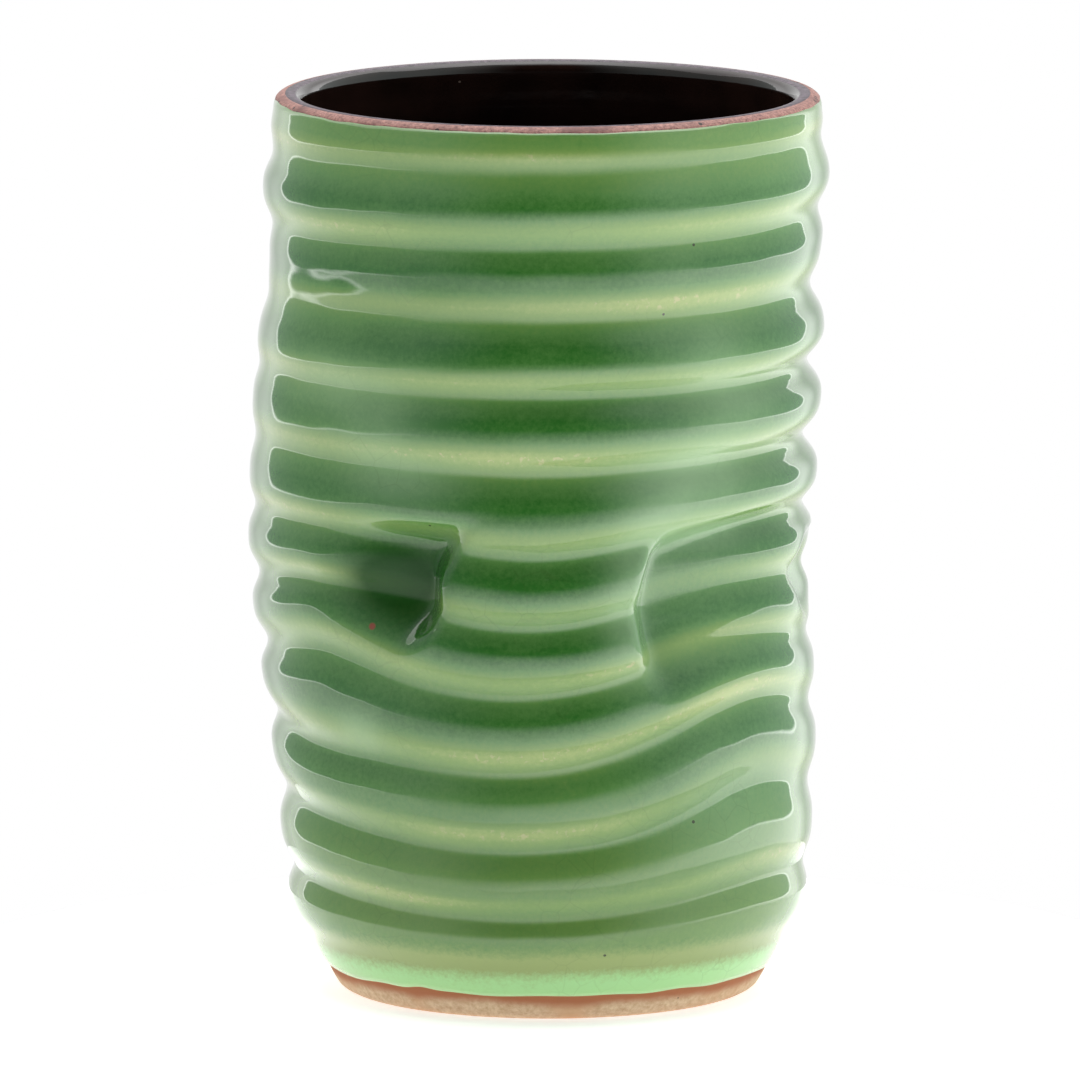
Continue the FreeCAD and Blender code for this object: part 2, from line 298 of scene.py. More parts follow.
def ridge_strength(azimuth, z):
    """Half the depth of the ridges at a point, fading out at the foot and under the lip."""
    above = smooth_step(z, *RIDGE_CHANGE)
    depth = RIDGE_DEPTH + (RIDGE_DEPTH_ABOVE_DENTS - RIDGE_DEPTH) * above
    uneven = RIDGE_UNEVEN_BELOW + (RIDGE_UNEVEN_ABOVE - RIDGE_UNEVEN_BELOW) * above
    uneven *= 1.0 - smooth_step(z, *RIDGE_EVENS_OUT)
    fade = smooth_step(z, *RIDGE_START) * (1.0 - smooth_step(z, *RIDGE_END))
    fade *= 1.0 - RIDGE_WEAKENS_BY * smooth_step(z, *RIDGE_WEAKENS)
    fade *= 1.0 - WAIST_WEAKENS_RIDGE * waist(z)
    return depth * fade * (1.0 + uneven * np.sin(np.radians(azimuth)))


def relief(azimuth, z, ridge_scale):
    """Ridges, dents, bulge and hollow together, as a change of radius."""
    height = ridge_height(azimuth, z)
    depth, share = dent_depth(azimuth, height)
    ridge = ridge_strength(azimuth, z) * (1.0 - DENT_SMOOTHS_RIDGES * share) * ridge_wave(height)
    swelling = bump(azimuth, z, FRONT_BULGE) + bump(azimuth, z, RIGHT_HOLLOW)
    return ridge_scale * ridge - depth + swelling


def belly_radius(z):
    """Radius of the glazed outside without ridges, from the underside to the lip."""
    radius = BELLY_RADIUS - BELLY_CURVE * (z - BELLY_HEIGHT) ** 2 - WAIST * waist(z)
    below = np.clip(1.0 - z / FOOT_TAPER_HEIGHT, 0.0, 1.0)
    radius = radius - FOOT_TAPER * below ** FOOT_TAPER_POWER
    reach = np.clip((z - LIP_TUCK_START) / (LIP_ARC_HEIGHT - LIP_TUCK_START), 0.0, 1.0)
    return radius - LIP_TUCK * reach ** LIP_TUCK_POWER


def lean_at(z):
    """Sideways shift of the wall's centre at a height."""
    spread = np.where(z < LEAN_HEIGHT, LEAN_BELOW, LEAN_ABOVE)
    return -LEAN * np.exp(-((z - LEAN_HEIGHT) / spread) ** 2)


def waves(azimuth, z, seed, count, turns, heights):
    """Smooth seeded unevenness, about -1 to 1: waves with whole turns round the pot."""
    rng = np.random.default_rng(seed)
    total = 0.0
    for _ in range(count):
        around = rng.integers(1, turns + 1)
        up = 2.0 * np.pi / rng.uniform(*heights) * rng.choice((-1.0, 1.0))
        start = rng.uniform(0.0, 2.0 * np.pi)
        total = total + np.sin(np.radians(azimuth) * around + z * up + start)
    return total / math.sqrt(count)


def columns(count):
    """Evenly spaced azimuths, one per column."""
    return np.arange(count) * 360.0 / count


def ring(radius, z, count=FINE_COLUMNS):
    """One closed row of points: radius and z may be numbers, or arrays by column."""
    azimuth = np.radians(columns(count))
    z = np.zeros(count) + z
    x = lean_at(z) + radius * np.sin(azimuth)
    return np.stack([x, -radius * np.cos(azimuth), z], axis=1)


def steps(low, high, step):
    """Evenly spaced values from low to high, about a step apart."""
    return np.linspace(low, high, max(1, round((high - low) / step)) + 1)


def outer_lip_arc(inset):
    """Half width and half height of the lip's outer quarter ellipse, inset from the surface."""
    across = belly_radius(LIP_ARC_HEIGHT) - LIP_SEAM_RADIUS - inset
    up = HEIGHT - LIP_ARC_HEIGHT - inset * LINING_THICKNESS / GLAZE_THICKNESS
    return across, up


def ripple(azimuth, z):
    """Slight unevenness left by the hands and by the melted glaze, always inward."""
    hands = 0.5 + 0.25 * waves(azimuth, z, *HAND_WAVES)
    melt = 0.5 + 0.25 * waves(azimuth, z, *MELT_WAVES)
    amount = np.clip(RIPPLE_HANDS * hands + RIPPLE_MELT * melt, 0.0, None)
    return amount * smooth_step(z, *RIPPLE_STARTS) * (1.0 - smooth_step(z, *RIPPLE_ENDS))


def outside_radius(azimuth, z, inset):
    """Radius of the outside, from the foot to the top of the green glaze."""
    across, up = outer_lip_arc(inset)
    lip = np.sqrt(np.clip(1.0 - ((z - LIP_ARC_HEIGHT) / up) ** 2, 0.0, 1.0))
    wall = belly_radius(z) - inset + relief(azimuth, z, 1.0) - ripple(azimuth, z)
    return np.where(z > LIP_ARC_HEIGHT, LIP_SEAM_RADIUS + across * lip, wall)


# ---------------------------------------------------------------- mesh building

def stitch(lower, upper):
    """Faces between two rows of vertex numbers, where one row may be some times as fine."""
    if len(lower) < len(upper):
        return [face[::-1] for face in stitch(upper, lower)]
    ratio = len(lower) // len(upper)
    faces = []
    for i in range(len(upper)):
        fine = [lower[(i * ratio + k) % len(lower)] for k in range(ratio + 1)]
        faces.append(fine + [upper[(i + 1) % len(upper)], upper[i]])
    return faces


def loft(name, rings, closed=False):
    """A smooth mesh through rows of points: a closed loop of rows, or capped at both ends."""
    rows = []
    start = 0
    for points in rings:
        rows.append(list(range(start, start + len(points))))
        start += len(points)
    faces = []
    for lower, upper in zip(rows, rows[1:] + rows[:1] if closed else rows[1:]):
        faces += stitch(lower, upper)
    if not closed:
        faces.append(rows[0][::-1])
        faces.append(rows[-1])
    mesh = bpy.data.meshes.new(name)
    mesh.from_pydata((np.concatenate(rings) * MM).tolist(), [], faces)
    mesh.shade_smooth()
    mesh.validate()
    piece = bpy.data.objects.new(name, mesh)
    bpy.context.scene.collection.objects.link(piece)
    return piece


def point_values(piece, name, values):
    """Stores one number per vertex, which a material reads by name."""
    layer = piece.data.attributes.new(name, "FLOAT", "POINT")
    layer.data.foreach_set("value", np.asarray(values, dtype=np.float32))


def azimuths_and_heights(piece):
    """The azimuth and height of every vertex of a piece."""
    points = np.empty(len(piece.data.vertices) * 3)
    piece.data.vertices.foreach_get("co", points)
    x, y, z = points.reshape(-1, 3).T / MM
    return np.degrees(np.arctan2(x - lean_at(z), -y)), z


# ---------------------------------------------------------------- pieces

def glaze_line(count):
    """Uneven height of the glaze's lower edge, with one small notch."""
    azimuth = columns(count)
    line = GLAZE_LINE_HEIGHT + GLAZE_LINE_UNEVEN * waves(azimuth, 0.0, *GLAZE_LINE_WAVES)
    return line + bump(azimuth, 0.0, GLAZE_NOTCH)


def outside_rings(inset, step, count):
    """Rows from the uneven lower edge of the glaze to its uneven top edge."""
    azimuth = columns(count)
    low = glaze_line(count)
    high = band_bottom(count)
    rings = []
    for share in steps(0.0, 1.0, step / (BAND_BOTTOM - GLAZE_LINE_HEIGHT)):
        z = low + (high - low) * share
        rings.append(ring(outside_radius(azimuth, z, inset), z, count))
    return rings


def thinness_and_painted_light(azimuth, z):
    """How pale and yellow-green a point is, from 0 to about 1: thinner glaze, and painted light from
    the table on the lower slopes of the ridges.
    """
    height = ridge_height(azimuth, z)
    above_line = turn_between(ridge_turn(height) * 360.0, THIN_AND_LIT_LINE)
    narrow = np.exp(-(above_line / THIN_AND_LIT_LINE_ABOVE) ** 2)
    wide = np.exp(-(above_line / THIN_AND_LIT_LINE_BELOW) ** 2)
    below = narrow + THIN_WIDE_SHARE * (wide - narrow)
    thin_and_lit = np.where(above_line > 0.0, narrow, below)
    _, share = dent_depth(azimuth, height)
    started = smooth_step(z, *THIN_STARTS)
    thin_and_lit = thin_and_lit * (1.0 - THIN_LOSS_IN_DENTS * share) * started
    thin_and_lit = thin_and_lit * (THIN_MEAN + THIN_VARIES * waves(azimuth, z, *THIN_WAVES))
    under_lip = smooth_step(z, *UNDER_LIP_STARTS)
    low_down = (1.0 - smooth_step(z, *LOWER_THIN_FADES)) * started
    return np.maximum(thin_and_lit, np.maximum(UNDER_LIP_THIN * under_lip, LOWER_THIN * low_down))


def patches(azimuth, z, spots):
    """Soft spots added up, from 0 to 1."""
    return np.clip(sum(bump(azimuth, z, spot) for spot in spots), 0.0, 1.0)


def make_glaze():
    """Green coat: the shown surface, its lower and upper edge, and its hidden back."""
    shown = outside_rings(0.0, FINE_ROW, FINE_COLUMNS)
    hidden = outside_rings(GLAZE_THICKNESS, HIDDEN_ROW, HIDDEN_COLUMNS)
    piece = loft("outer_celadon_glaze", shown + hidden[::-1], closed=True)
    azimuth, z = azimuths_and_heights(piece)
    # Pale lines of thinner glaze, together with painted light on the lower ridge slopes
    point_values(piece, "thin_and_lit", thinness_and_painted_light(azimuth, z))
    point_values(piece, "pool", patches(azimuth, z, POOLS))
    # Patches of painted reflection of the bright tent
    point_values(piece, "painted_reflection", patches(azimuth, z, PAINTED_REFLECTIONS))
    point_values(piece, "foot_band", 1.0 - smooth_step(z, *FOOT_BAND_FADES))
    return piece


def make_body():
    """Bare clay foot and underside, and the hidden wall under the glazes."""
    underside = [ring(r, 0.0, FLAT_COLUMNS) for r in UNDERSIDE_RINGS]
    underside.append(ring(UNDERSIDE_RADIUS, 0.0))
    foot = []
    for share in steps(0.0, 1.0, FOOT_ROWS_SHARE):
        z = glaze_line(FINE_COLUMNS) * share
        pull = FOOT_EDGE_PULL * np.clip(1.0 - z / FOOT_EDGE_HEIGHT, 0.0, 1.0) ** 2
        swell = FOOT_SWELL * (1.0 - (z / GLAZE_LINE_HEIGHT) ** 2)
        foot.append(ring(belly_radius(z) - GLAZE_THICKNESS + swell - pull, z))
    wall = outside_rings(GLAZE_THICKNESS, HIDDEN_ROW, HIDDEN_COLUMNS)
    top = band_rings(GLAZE_THICKNESS, HIDDEN_COLUMNS)
    inside = lining_rings(LINING_THICKNESS, LINING_HIDDEN_ROW, HIDDEN_COLUMNS)
    return loft("bare_clay_body", underside + foot + wall[1:] + top[1:] + inside[1:])


def band_bottom(count):
    """Uneven height of the line where the green glaze stops under the lip."""
    return GLAZE_TOP + GLAZE_TOP_UNEVEN * waves(columns(count), 0.0, *GLAZE_TOP_WAVES)


def band_rings(inset, count=FINE_COLUMNS):
    """The outer corner of the lip, from the green glaze up to the seam on the lip's top."""
    across, up = outer_lip_arc(inset)
    start = np.arcsin((band_bottom(count) - LIP_ARC_HEIGHT) / up)
    rings = []
    for share in np.linspace(0.0, 1.0, LIP_ROWS):
        angle = start + (math.pi / 2 - start) * share
        radius = LIP_SEAM_RADIUS + across * np.cos(angle)
        rings.append(ring(radius, LIP_ARC_HEIGHT + up * np.sin(angle), count))
    return rings


def lining_rings(inset, row_step, count):
    """The inside, from the seam on the lip down the wall and over the floor."""
    azimuth = columns(count)
    middle = LIP_SEAM_RADIUS - LIP_FLAT_WIDTH
    mouth = middle - LIP_INNER_ARC
    arc_centre = HEIGHT - LIP_INNER_ARC
    fillet_centre = FLOOR_HEIGHT + FLOOR_FILLET
    rings = [ring(LIP_SEAM_RADIUS, HEIGHT - inset, count)]
    for angle in np.linspace(0.0, math.pi / 2, LIP_ROWS):
        radius = middle - (LIP_INNER_ARC - inset) * math.sin(angle)
        rings.append(ring(radius, arc_centre + (LIP_INNER_ARC - inset) * math.cos(angle), count))
    for z in steps(fillet_centre, arc_centre - row_step, row_step)[::-1]:
        to_mouth = smooth_step(z, arc_centre - MOUTH_BLEND, arc_centre)
        plain = (1.0 - to_mouth) * (belly_radius(z) - WALL_THICKNESS) + to_mouth * mouth
        rings.append(ring(plain + inset + relief(azimuth, z, RIDGE_ON_LINING), z, count))
    corner = belly_radius(fillet_centre) - WALL_THICKNESS - FLOOR_FILLET
    for i, angle in enumerate(np.linspace(0.0, math.pi / 2, FILLET_ROWS)[1:], 1):
        ease = 1.0 - smooth_step(i, 0.0, FILLET_ROWS_WITH_RIDGES)
        z = fillet_centre - (FLOOR_FILLET + inset) * math.sin(angle)
        radius = corner + (FLOOR_FILLET + inset) * math.cos(angle)
        rings.append(ring(radius + ease * relief(azimuth, z, RIDGE_ON_LINING), z, count))
    rings += [ring(r, FLOOR_HEIGHT - inset, count) for r in FLOOR_RINGS]
    return rings


def make_lining():
    """Dark lining: its hidden back against the clay, and its shown inside."""
    shown = lining_rings(0.0, LINING_ROW, LINING_COLUMNS)
    hidden = lining_rings(LINING_THICKNESS, LINING_HIDDEN_ROW, LINING_HIDDEN_COLUMNS)
    return loft("dark_interior_glaze", hidden[::-1] + shown)


def make_band():
    """Thin dry band on the outer corner of the lip."""
    return loft("iron_lip_band", band_rings(0.0) + band_rings(GLAZE_THICKNESS)[::-1], closed=True)


# ---------------------------------------------------------------- materials

class Nodes:
    """Short calls for building a node tree."""

    def __init__(self, tree):
        """Starts with an empty tree."""
        self.tree = tree
        tree.nodes.clear()

    def add(self, kind, inputs=None, **settings):
        """A node of a kind, with its inputs set by name or number."""
        node = self.tree.nodes.new(kind)
        for key, value in settings.items():
            setattr(node, key, value)
        for key, value in (inputs or {}).items():
            self.set(node.inputs[key], value)
        return node

    def set(self, socket, value):
        """Links a socket to another node's output, or gives it a plain value."""
        if isinstance(value, bpy.types.NodeSocket):
            self.tree.links.new(value, socket)
        else:
            socket.default_value = value

    def math(self, operation, *values):
        """One sum on numbers."""
        node = self.add("ShaderNodeMath", operation=operation)
        for socket, value in zip(node.inputs, values):
            self.set(socket, value)
        return node.outputs[0]

    def mix(self, share, first, second):
        """Colour between first and second."""
        node = self.add("ShaderNodeMix", data_type="RGBA")
        self.set(node.inputs["Factor"], share)
        self.set(node.inputs[6], first)
        self.set(node.inputs[7], second)
        return node.outputs[2]

    def blend(self, share, first, second):
        """Number between first and second."""
        node = self.add("ShaderNodeMix", data_type="FLOAT")
        self.set(node.inputs[0], share)
        self.set(node.inputs[2], first)
        self.set(node.inputs[3], second)
        return node.outputs[0]

    def rise(self, value, low, high):
        """0 below low, 1 above high, and a smooth rise between them."""
        node = self.add("ShaderNodeMapRange", interpolation_type="SMOOTHSTEP", clamp=True)
        for key, number in (("Value", value), ("From Min", low), ("From Max", high)):
            self.set(node.inputs[key], number)
        return node.outputs["Result"]

    def fall(self, value, low, high):
        """1 below low, 0 above high, and a smooth fall between them."""
        return self.math("SUBTRACT", 1.0, self.rise(value, low, high))

    def ramp(self, value, stops):
        """Colour for a number, between stops of place and colour."""
        node = self.add("ShaderNodeValToRGB", {"Fac": value})
        elements = node.color_ramp.elements
        while len(elements) < len(stops):
            elements.new(0.5)
        for element, (place, colour) in zip(elements, stops):
            element.position = place
            element.color = colour
        return node.outputs["Color"]

    def noise(self, kind, place):
        """Cloudy noise from 0 to 1. A kind is a scale per metre, a detail and a roughness."""
        scale, detail, roughness = kind
        inputs = {"Scale": scale, "Detail": detail, "Roughness": roughness, "Vector": place}
        return self.add("ShaderNodeTexNoise", inputs).outputs["Fac"]

    def relief(self, height, strength, distance):
        """Normal of a surface with fine relief on it."""
        inputs = {"Height": height, "Strength": strength, "Distance": distance}
        return self.add("ShaderNodeBump", inputs).outputs["Normal"]

    def attribute(self, name):
        """A number stored on the mesh by point_values."""
        return self.add("ShaderNodeAttribute", attribute_name=name).outputs["Fac"]


def new_material(name):
    """A material with one shader, its nodes and that shader."""
    material = bpy.data.materials.new(name)
    material.use_nodes = True
    nodes = Nodes(material.node_tree)
    shader = nodes.add("ShaderNodeBsdfPrincipled")
    output = nodes.add("ShaderNodeOutputMaterial")
    nodes.tree.links.new(shader.outputs[0], output.inputs["Surface"])
    return material, nodes, shader


def rgb(red, green, blue):
    """A shader colour from the 0-255 values a screen shows."""
    values = []
    for value in (red, green, blue):
        v = value / 255.0
        values.append(v / 12.92 if v <= 0.04045 else ((v + 0.055) / 1.055) ** 2.4)
    return (*values, 1.0)


# Green glaze from thick to thinner, with the pale end also painting the light on the lower ridge
# slopes, and what shows in it
GREEN_THICKEST = rgb(46, 102, 38)
GREEN_THICK = rgb(86, 132, 67)
GREEN_THIN = rgb(120, 151, 78)
GREEN_THINNEST_AND_LIT = rgb(154, 171, 100)
OLIVE_BAND = rgb(152, 166, 96)
MINT_BAND = rgb(166, 218, 146)
REFLECTION_GREEN = rgb(158, 190, 146)
POOL_GREEN = rgb(18, 66, 15)
PINK_FLECK = rgb(200, 182, 146)
GLAZE_SPECK_COLOUR = rgb(52, 60, 30)
RUST = rgb(140, 62, 50)
CRACK = rgb(60, 84, 40)

# How the green is chosen: its level where the glaze is thick, what thinner glaze with its painted
# light, clouds and grain add to that, and the colour at each level
GREEN_LEVEL = -0.12
GREEN_FROM_THIN_AND_LIT = 0.88
GREEN_FROM_CLOUD = 0.34
GREEN_FROM_GRAIN = 0.3
GREEN_STOPS = (
    (0.0, GREEN_THICKEST),
    (0.25, GREEN_THICK),
    (0.7, GREEN_THIN),
    (1.0, GREEN_THINNEST_AND_LIT),
)

# The olive and mint bands above the foot: how uneven they are, where each sets in, and
# how strongly each kind of mark covers the green
FOOT_BAND_UNEVEN = 0.25
OLIVE_SETS_IN = (0.05, 0.45)
MINT_SETS_IN = (0.68, 1.0)
OLIVE_COVER = 0.85
REFLECTION_COVER = 0.3
POOL_COVER = 0.92
FLECK_COVER = 0.45
RUST_COVER = 0.9
CRACK_COVER = 0.16

# Noise levels over which flecks and cracks set in, and the thinness over which flecks do
FLECKS_SET_IN = (0.56, 0.7)
FLECKS_NEED_THIN = (0.75, 1.0)
CRACKS_SET_IN = (0.45, 0.7)

# Gloss of the green glaze, and how much of it is lost where the glaze pools
GLAZE_ROUGHNESS = 0.03
GLAZE_ROUGHNESS_VARIES = 0.06
GLAZE_IOR = 1.55
GLAZE_COAT = 0.5
GLAZE_COAT_ROUGHNESS = 0.02
GLAZE_COAT_IOR = 1.5
GLAZE_SPECULAR = 0.5
POOL_LOSES_COAT = 0.5
POOL_LOSES_SPECULAR = 0.3
PINHOLE_DEPTH = 2.0

# Bare clay
CLAY_DARK = rgb(196, 158, 124)
CLAY_LIGHT = rgb(232, 206, 176)
CLAY_WARM = rgb(214, 172, 136)
CLAY_FLASH = rgb(176, 108, 74)
CLAY_SPECK_COLOUR = rgb(96, 66, 46)
CLAY_STOPS = ((0.3, CLAY_DARK), (0.7, CLAY_LIGHT))
CLAY_WARMS = (0.45, 0.7)
CLAY_ROUGHNESS = 0.85

# Dark lining, and the drier flat of the lip, whose purple-grey colour is a painted sheen
LINING_DARK = rgb(20, 12, 10)
LINING_BROWN = rgb(42, 26, 22)
LIP_DARK = rgb(44, 34, 42)
LIP_PAINTED_SHEEN = rgb(112, 94, 108)
LINING_SPECK_COLOUR = rgb(120, 104, 96)
LINING_STOPS = ((0.3, LINING_DARK), (0.7, LINING_BROWN))
LIP_SHEEN_STOPS = ((0.35, LIP_DARK), (0.7, LIP_PAINTED_SHEEN))
LINING_ROUGHNESS = 0.08
LIP_ROUGHNESS = 0.42
LINING_SPECULAR = 0.5
LIP_SPECULAR = 0.3

# Iron band
BAND_DARK = rgb(104, 60, 56)
BAND_PINK = rgb(196, 142, 130)
BAND_BROWN = rgb(116, 72, 66)
BAND_SPECK_COLOUR = rgb(50, 30, 28)
BAND_STOPS = ((0.32, BAND_DARK), (0.68, BAND_PINK))
BAND_BROWNS = (0.5, 0.75)
BAND_ROUGHNESS = 0.6

# Kinds of noise: scale per metre, detail, roughness
GLAZE_CLOUD = (45.0, 4.0, 0.6)
GLAZE_GRAIN = (1500.0, 3.0, 0.7)
GLAZE_FLECKS = (1100.0, 2.0, 0.6)
GLAZE_PEEL = (330.0, 2.0, 0.5)
CRAZED_PARTS = (70.0, 2.0, 0.5)
CLAY_GRAIN = (1300.0, 5.0, 0.7)
CLAY_CLOUD = (70.0, 3.0, 0.6)
LINING_CLOUD = (120.0, 4.0, 0.6)
LINING_PEEL = (420.0, 2.0, 0.5)
LIP_GRAIN = (1100.0, 3.0, 0.7)
BAND_GRAIN = (2200.0, 4.0, 0.75)
BAND_PATCHES = (160.0, 3.0, 0.6)
TABLE_CLOUD = (20.0, 2.0, 0.5)

# Kinds of specks: cells per metre, size within a cell, share of the cells that stay empty
GLAZE_SPECKS = (260.0, 0.06, 0.93)
GLAZE_PINHOLES = (200.0, 0.05, 0.9)
CLAY_SPECKS = (700.0, 0.2, 0.9)
LINING_SPECKS = (420.0, 0.12, 0.95)
BAND_SPECKS = (900.0, 0.3, 0.86)

# Crack net: cells per metre, half width of a crack, and the noise that bends it, as scale and metres
CRAZE_CELLS = 260.0
CRAZE_WIDTH = 0.035
CRAZE_BEND = (180.0, 0.0012)

# Fine relief on each surface: strength, and depth in metres
GLAZE_RELIEF = (1.0, 0.000012)
CLAY_RELIEF = (0.6, 0.00008)
LINING_RELIEF = (1.0, 0.00002)
BAND_RELIEF = (0.7, 0.00006)

# Depth below the top where the lining turns into the drier lip with its painted sheen, and heights
# below the glaze line between which the clay turns to the flashed brown
LIP_TURNS_DRY = (0.16, 0.04)
FLASH_BELOW_LINE = (2.2, 0.5)
FLASH_UNEVEN = 2.2

WHITE = (1.0, 1.0, 1.0, 1.0)
BLACK = (0.0, 0.0, 0.0, 1.0)
TABLE_WHITES = ((0.3, (0.86, 0.86, 0.86, 1.0)), (0.7, (0.9, 0.9, 0.9, 1.0)))


def object_place(nodes):
    """The place of a point on its object, in metres."""
    return nodes.add("ShaderNodeTexCoord").outputs["Object"]


def iron_spot_place():
    """Middle of the iron spot, on the outside of the pot."""
    azimuth, z, _ = IRON_SPOT
    radius = float(outside_radius(np.array([azimuth]), np.array([z]), 0.0)[0])
    turn = math.radians(azimuth)
    x = float(lean_at(z)) + radius * math.sin(turn)
    return (x * MM, -radius * math.cos(turn) * MM, z * MM)


def green_glaze_material():
    """Translucent celadon: yellow-green where the glaze is thinner and where light is painted on the
    lower ridge slopes, deep green where thick, painted reflections in patches, finely crazed.
    """
    material, nodes, shader = new_material("celadon_glaze_look")
    place = object_place(nodes)
    cloud = nodes.noise(GLAZE_CLOUD, place)
    grain = nodes.noise(GLAZE_GRAIN, place)
    # Pale lines of thinner glaze, together with painted light on the lower ridge slopes
    thin_and_lit = nodes.attribute("thin_and_lit")
    level = nodes.math("MULTIPLY_ADD", thin_and_lit, GREEN_FROM_THIN_AND_LIT, GREEN_LEVEL)
    level = nodes.math("MULTIPLY_ADD", cloud, GREEN_FROM_CLOUD, level)
    level = nodes.math("MULTIPLY_ADD", nodes.math("SUBTRACT", grain, 0.5), GREEN_FROM_GRAIN, level)
    colour = nodes.ramp(level, GREEN_STOPS)

    # Olive and mint bands above the foot, painted reflections of the tent in patches, and dark glaze
    # where it pools
    uneven = nodes.math("MULTIPLY_ADD", cloud, FOOT_BAND_UNEVEN, -FOOT_BAND_UNEVEN)
    uneven = nodes.math("MULTIPLY_ADD", grain, FOOT_BAND_UNEVEN, uneven)
    foot = nodes.math("ADD", uneven, nodes.attribute("foot_band"))
    olive = nodes.math("MULTIPLY", nodes.rise(foot, *OLIVE_SETS_IN), OLIVE_COVER)
    colour = nodes.mix(olive, colour, OLIVE_BAND)
    colour = nodes.mix(nodes.rise(foot, *MINT_SETS_IN), colour, MINT_BAND)
    # Painted reflections of the tent, as pale green patches
    reflection_share = nodes.math("MULTIPLY", nodes.attribute("painted_reflection"), nodes.math("ADD", cloud, REFLECTION_COVER))
    colour = nodes.mix(reflection_share, colour, REFLECTION_GREEN)
    pool = nodes.attribute("pool")
    colour = nodes.mix(nodes.math("MULTIPLY", pool, POOL_COVER), colour, POOL_GREEN)

    # Pinkish flecks where the glaze is thinnest, and small dark iron specks anywhere
    fleck = nodes.rise(nodes.noise(GLAZE_FLECKS, place), *FLECKS_SET_IN)
    fleck = nodes.math("MULTIPLY", fleck, nodes.rise(thin_and_lit, *FLECKS_NEED_THIN))
    colour = nodes.mix(nodes.math("MULTIPLY", fleck, FLECK_COVER), colour, PINK_FLECK)
    colour = nodes.mix(specks(nodes, place, GLAZE_SPECKS), colour, GLAZE_SPECK_COLOUR)

    # The rust-red iron spot, by distance from its middle
    away = nodes.add("ShaderNodeVectorMath", {"Vector": place}, operation="DISTANCE")
    away.inputs[1].default_value = iron_spot_place()
    spot_radius = IRON_SPOT[2] * MM
    spot = nodes.fall(away.outputs["Value"], 0.5 * spot_radius, spot_radius)
    colour = nodes.mix(nodes.math("MULTIPLY", spot, RUST_COVER), colour, RUST)

    # Fine crack net under the gloss
    cells = {"Vector": warped(nodes, place, *CRAZE_BEND), "Scale": CRAZE_CELLS}
    craze = nodes.add("ShaderNodeTexVoronoi", cells, feature="DISTANCE_TO_EDGE")
    crack = nodes.fall(craze.outputs["Distance"], 0.0, CRAZE_WIDTH)
    crazed = nodes.rise(nodes.noise(CRAZED_PARTS, place), *CRACKS_SET_IN)
    crack = nodes.math("MULTIPLY", crack, crazed)
    colour = nodes.mix(nodes.math("MULTIPLY", crack, CRACK_COVER), colour, CRACK)
    nodes.set(shader.inputs["Base Color"], colour)

    # Orange-peel gloss with a few pinholes
    peel = nodes.noise(GLAZE_PEEL, place)
    pinhole = specks(nodes, place, GLAZE_PINHOLES)
    height = nodes.math("MULTIPLY_ADD", pinhole, -PINHOLE_DEPTH, peel)
    nodes.set(shader.inputs["Normal"], nodes.relief(height, *GLAZE_RELIEF))
    roughness = nodes.math("MULTIPLY_ADD", cloud, GLAZE_ROUGHNESS_VARIES, GLAZE_ROUGHNESS)
    coat = nodes.math("MULTIPLY_ADD", pool, -POOL_LOSES_COAT, GLAZE_COAT)
    specular = nodes.math("MULTIPLY_ADD", pool, -POOL_LOSES_SPECULAR, GLAZE_SPECULAR)
    nodes.set(shader.inputs["Roughness"], roughness)
    nodes.set(shader.inputs["Coat Weight"], coat)
    nodes.set(shader.inputs["Specular IOR Level"], specular)
    shader.inputs["IOR"].default_value = GLAZE_IOR
    shader.inputs["Coat Roughness"].default_value = GLAZE_COAT_ROUGHNESS
    shader.inputs["Coat IOR"].default_value = GLAZE_COAT_IOR
    return material


def warped(nodes, place, scale, amount):
    """Object place pushed about a little by noise, so that cells lose their straight sides."""
    noise = nodes.add("ShaderNodeTexNoise", {"Vector": place, "Scale": scale, "Detail": 2.0})
    shift = nodes.add("ShaderNodeVectorMath", operation="SUBTRACT")
    nodes.set(shift.inputs[0], noise.outputs["Color"])
    shift.inputs[1].default_value = (0.5, 0.5, 0.5)
    scaled = nodes.add("ShaderNodeVectorMath", operation="SCALE")
    nodes.set(scaled.inputs[0], shift.outputs[0])
    scaled.inputs["Scale"].default_value = amount
    total = nodes.add("ShaderNodeVectorMath", operation="ADD")
    nodes.set(total.inputs[0], place)
    nodes.set(total.inputs[1], scaled.outputs[0])
    return total.outputs[0]


def specks(nodes, place, kind):
    """1 inside small round specks, which only some of the cells hold."""
    scale, size, rarity = kind
    cells = nodes.add("ShaderNodeTexVoronoi", {"Vector": place, "Scale": scale})
    chosen = nodes.add("ShaderNodeSeparateColor", {"Color": cells.outputs["Color"]}).outputs["Red"]
    inside = nodes.math("LESS_THAN", cells.outputs["Distance"], size)
    return nodes.math("MULTIPLY", inside, nodes.math("GREATER_THAN", chosen, rarity))


def clay_material():
    """Buff stoneware with dark specks, flashed brown just under the glaze edge."""
    material, nodes, shader = new_material("bare_clay_look")
    place = object_place(nodes)
    grain = nodes.noise(CLAY_GRAIN, place)
    cloud = nodes.noise(CLAY_CLOUD, place)
    colour = nodes.ramp(grain, CLAY_STOPS)
    colour = nodes.mix(nodes.rise(cloud, *CLAY_WARMS), colour, CLAY_WARM)
    height = nodes.add("ShaderNodeSeparateXYZ", {"Vector": place}).outputs["Z"]
    height = nodes.math("MULTIPLY_ADD", nodes.math("SUBTRACT", cloud, 0.5), FLASH_UNEVEN * MM, height)
    flash = nodes.rise(height, *((GLAZE_LINE_HEIGHT - below) * MM for below in FLASH_BELOW_LINE))
    colour = nodes.mix(flash, colour, CLAY_FLASH)
    colour = nodes.mix(specks(nodes, place, CLAY_SPECKS), colour, CLAY_SPECK_COLOUR)
    nodes.set(shader.inputs["Base Color"], colour)
    nodes.set(shader.inputs["Normal"], nodes.relief(grain, *CLAY_RELIEF))
    shader.inputs["Roughness"].default_value = CLAY_ROUGHNESS
    return material


